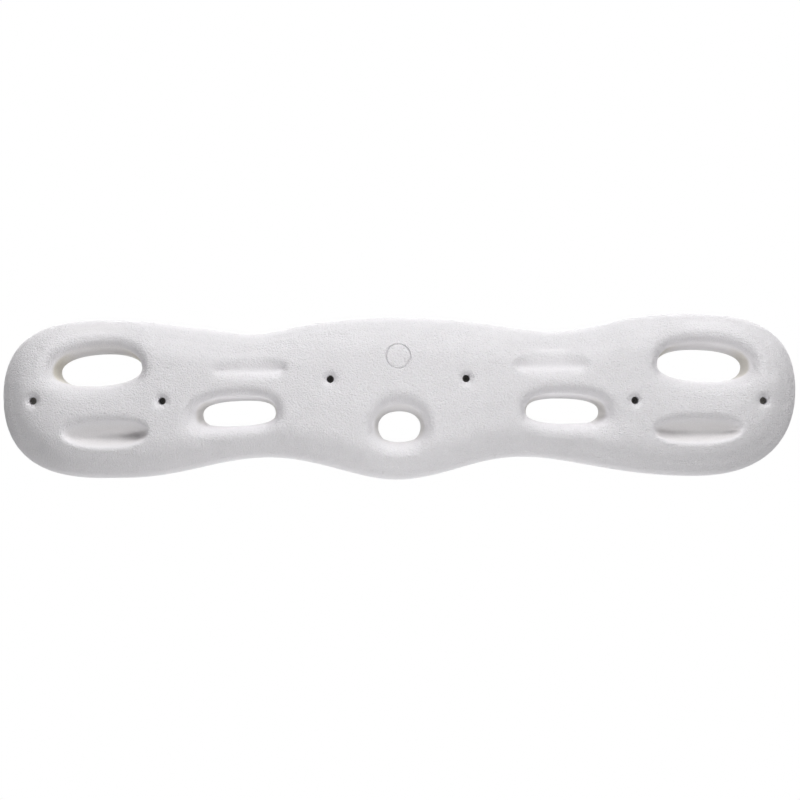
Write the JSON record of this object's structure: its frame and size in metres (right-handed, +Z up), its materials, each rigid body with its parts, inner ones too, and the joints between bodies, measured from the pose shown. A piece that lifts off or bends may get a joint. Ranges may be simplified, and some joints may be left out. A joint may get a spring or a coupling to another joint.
{
  "type": "hangboard",
  "caption": "Wall-mounted finger training board in cast resin, with rounded through pockets, shallow blind edges and recessed screws.",
  "frame": {"origin": "middle of the flat back that lies on the wall, midway between the screw holes", "axes": "+X along the board to the climber's right, +Y into the wall, +Z up"},
  "size_m": [0.715, 0.0797, 0.1504],
  "materials": {
    "resin": "finely grained cast polyurethane",
    "washer_steel": "zinc plated",
    "screw_steel": "black phosphate"
  },
  "bodies": {
    "root": {"board": "resin", "seat_washer_1": "washer_steel", "mounting_screw_1": "screw_steel", "seat_washer_2": "washer_steel", "mounting_screw_2": "screw_steel", "seat_washer_3": "washer_steel", "mounting_screw_3": "screw_steel", "seat_washer_4": "washer_steel", "mounting_screw_4": "screw_steel", "seat_washer_5": "washer_steel", "mounting_screw_5": "screw_steel", "seat_washer_6": "washer_steel", "mounting_screw_6": "screw_steel"}
  },
  "joints": []
}
